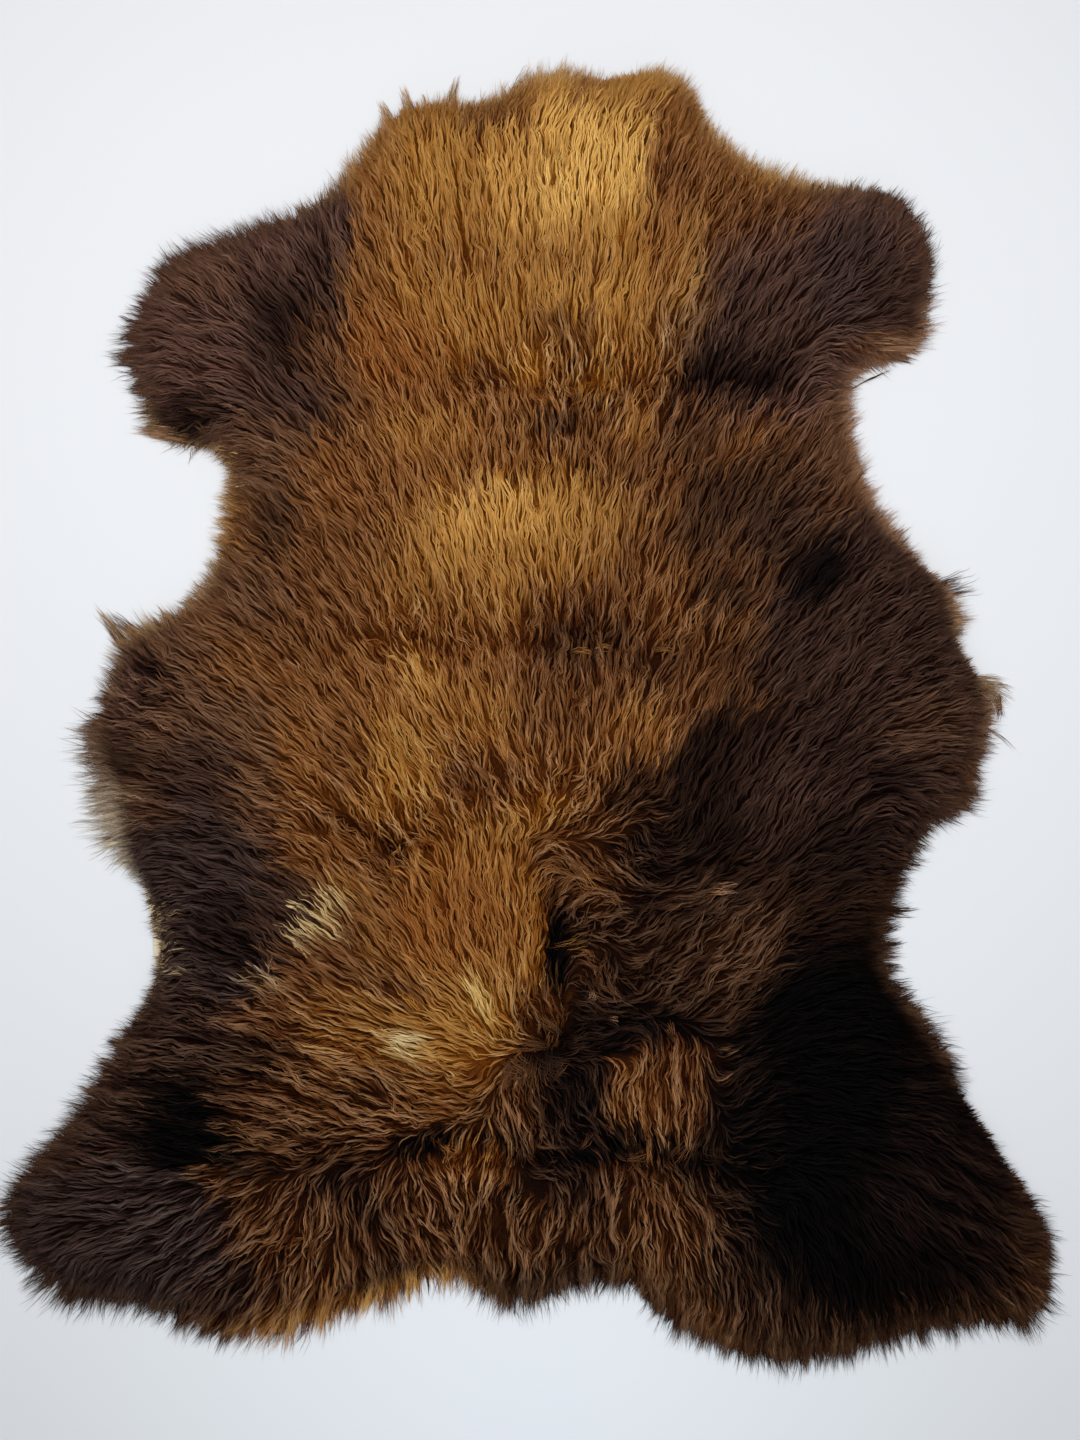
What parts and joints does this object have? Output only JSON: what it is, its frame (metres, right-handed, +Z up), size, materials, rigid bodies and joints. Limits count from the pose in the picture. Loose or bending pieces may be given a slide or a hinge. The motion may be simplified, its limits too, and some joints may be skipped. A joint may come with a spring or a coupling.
{
  "type": "sheepskin",
  "caption": "Natural brown sheepskin lying flat with its wool side up: a thin leather hide under a deep, lumpy fleece with a shaggy rim.",
  "frame": {"origin": "on the floor under the centre of the skin's box", "axes": "+Y from the tail to the neck, +X to the right as seen from above, +Z up out of the wool"},
  "size_m": [0.8412, 1.0468, 0.0385],
  "materials": {
    "leather": "suede side down, pale cut edge",
    "wool": "long brown wool, gold down the middle, near black at the flanks"
  },
  "bodies": {
    "root": {"hide": "leather", "fleece": "wool"}
  },
  "joints": []
}
